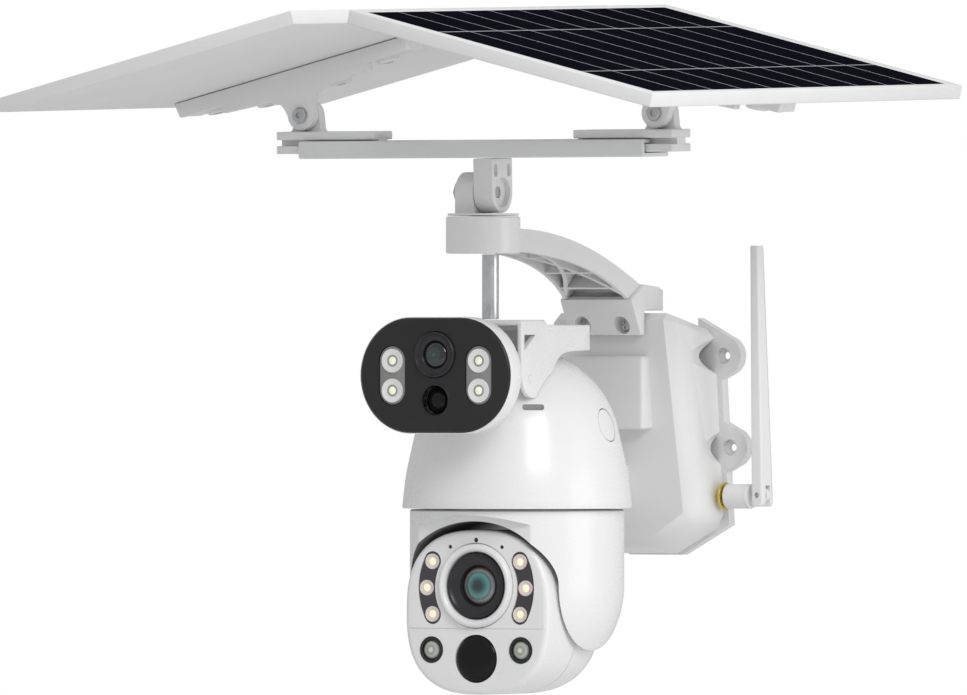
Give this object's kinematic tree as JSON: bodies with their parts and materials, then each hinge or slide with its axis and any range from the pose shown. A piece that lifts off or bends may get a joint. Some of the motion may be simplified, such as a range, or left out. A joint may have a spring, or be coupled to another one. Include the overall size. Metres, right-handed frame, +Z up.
{
  "type": "solar security camera",
  "caption": "Wall box carrying a fixed camera over a pan and tilt dome camera, with folding solar panels on a mast above and a paddle antenna at the side.",
  "frame": {"origin": "middle of the wall plate's back face, where it rests on the wall", "axes": "+Z up, +Y into the wall, +X to the side that the antenna is on; the cameras look along -Y"},
  "size_m": [0.4108, 0.3747, 0.3805],
  "materials": {
    "white_plastic": "satin moulded white plastic",
    "white_aluminium": "white powder-coated extruded aluminium",
    "black_plastic": "gloss black plastic",
    "solar_glass": "dark laminated solar cells under a clear gloss skin",
    "steel": "plain turned steel",
    "brass": "gold-plated brass",
    "lens_glass": "coated dark teal lens",
    "lamp_lens": "pale moulded lamp lens",
    "circuit_board": "green circuit board",
    "battery_wrap": "blue shrink-wrapped cell"
  },
  "bodies": {
    "housing": {"rear_cover": "white_plastic", "battery_box": "white_plastic", "battery_cell_1": "battery_wrap", "battery_cell_2": "battery_wrap", "battery_cell_3": "battery_wrap", "charge_board": "circuit_board", "solar_arm": "white_plastic", "arm_screw_left": "steel", "arm_screw_right": "steel", "mast_collar": "white_plastic", "support_rod": "steel", "dome_cap": "white_plastic", "card_cover": "white_plastic", "dome_floor": "white_plastic", "pan_bearing": "steel", "pan_motor": "steel", "main_board": "circuit_board", "upper_bracket": "white_plastic", "upper_pin_left": "steel", "upper_pin_right": "steel", "sma_connector": "brass"},
    "mast": {"mast_clevis": "white_plastic", "mast_bolt": "steel"},
    "bar": {"bar_lug": "white_plastic", "cross_bar": "white_aluminium"},
    "left_slider": {"slider_left": "white_plastic", "hinge_bolt_left": "steel"},
    "right_slider": {"slider_right": "white_plastic", "hinge_bolt_right": "steel"},
    "left_panel": {"panel_frame_left": "white_plastic", "solar_cells_left": "solar_glass", "panel_carrier_left": "white_plastic"},
    "right_panel": {"panel_frame_right": "white_plastic", "solar_cells_right": "solar_glass", "panel_carrier_right": "white_plastic"},
    "upper_camera": {"upper_housing": "white_plastic", "upper_faceplate": "black_plastic", "upper_lens_barrel": "black_plastic", "upper_lens": "lens_glass", "upper_motion_sensor": "black_plastic", "upper_led_left": "lamp_lens", "upper_led_right": "lamp_lens"},
    "yoke": {"yoke": "white_plastic", "tilt_motor": "steel"},
    "head": {"head_front": "white_plastic", "head_rear": "white_plastic", "head_lens_barrel": "white_plastic", "head_lens_ring": "black_plastic", "head_lens": "lens_glass", "head_motion_sensor": "black_plastic", "head_led_left": "lamp_lens", "head_led_right": "lamp_lens", "head_spot_left": "lamp_lens", "head_spot_right": "lamp_lens"},
    "antenna_base": {"antenna_barrel": "white_plastic", "antenna_pin": "steel"},
    "antenna_blade": {"antenna_blade": "white_plastic"}
  },
  "joints": [
    {"name": "mast_swivel", "type": "hinge", "parent": "housing", "child": "mast", "pos_m": [0, -0.199, 0.138], "axis": [0, 0, 1], "range_deg": [-170, 170]},
    {"name": "bar_tilt", "type": "hinge", "parent": "mast", "child": "bar", "pos_m": [0, -0.199, 0.138], "axis": [1, 0, 0], "range_deg": [-25, 25]},
    {"name": "left_slide", "type": "slide", "parent": "bar", "child": "left_slider", "axis": [1, 0, 0], "range_m": [-0.01, 0.015]},
    {"name": "right_slide", "type": "slide", "parent": "bar", "child": "right_slider", "axis": [1, 0, 0], "range_m": [-0.015, 0.01]},
    {"name": "left_hinge", "type": "hinge", "parent": "left_slider", "child": "left_panel", "pos_m": [-0.1119, -0.20006, 0.18099], "axis": [0, 0.9997, 0.0246], "range_deg": [-30, 14]},
    {"name": "right_hinge", "type": "hinge", "parent": "right_slider", "child": "right_panel", "pos_m": [0.1119, -0.20006, 0.18099], "axis": [0, 0.9997, 0.0246], "range_deg": [-14, 30]},
    {"name": "upper_camera_tilt", "type": "hinge", "parent": "housing", "child": "upper_camera", "pos_m": [0, -0.2045, 0.036], "axis": [1, 0, 0], "range_deg": [-15, 12]},
    {"name": "pan_turn", "type": "hinge", "parent": "housing", "child": "yoke", "pos_m": [0, -0.1617, -0.0358], "axis": [0, 0, 1], "range_deg": [-175, 175]},
    {"name": "head_nod", "type": "hinge", "parent": "yoke", "child": "head", "pos_m": [0, -0.1617, -0.0919], "axis": [1, 0, 0], "range_deg": [-2, 90]},
    {"name": "antenna_swivel", "type": "hinge", "parent": "housing", "child": "antenna_base", "pos_m": [0.0475, -0.0154, -0.0295], "axis": [1, 0, 0], "range_deg": [0, 180]},
    {"name": "antenna_fold", "type": "hinge", "parent": "antenna_base", "child": "antenna_blade", "pos_m": [0.0728, -0.0154, -0.0288], "axis": [0, 1, 0], "range_deg": [0, 90]}
  ]
}
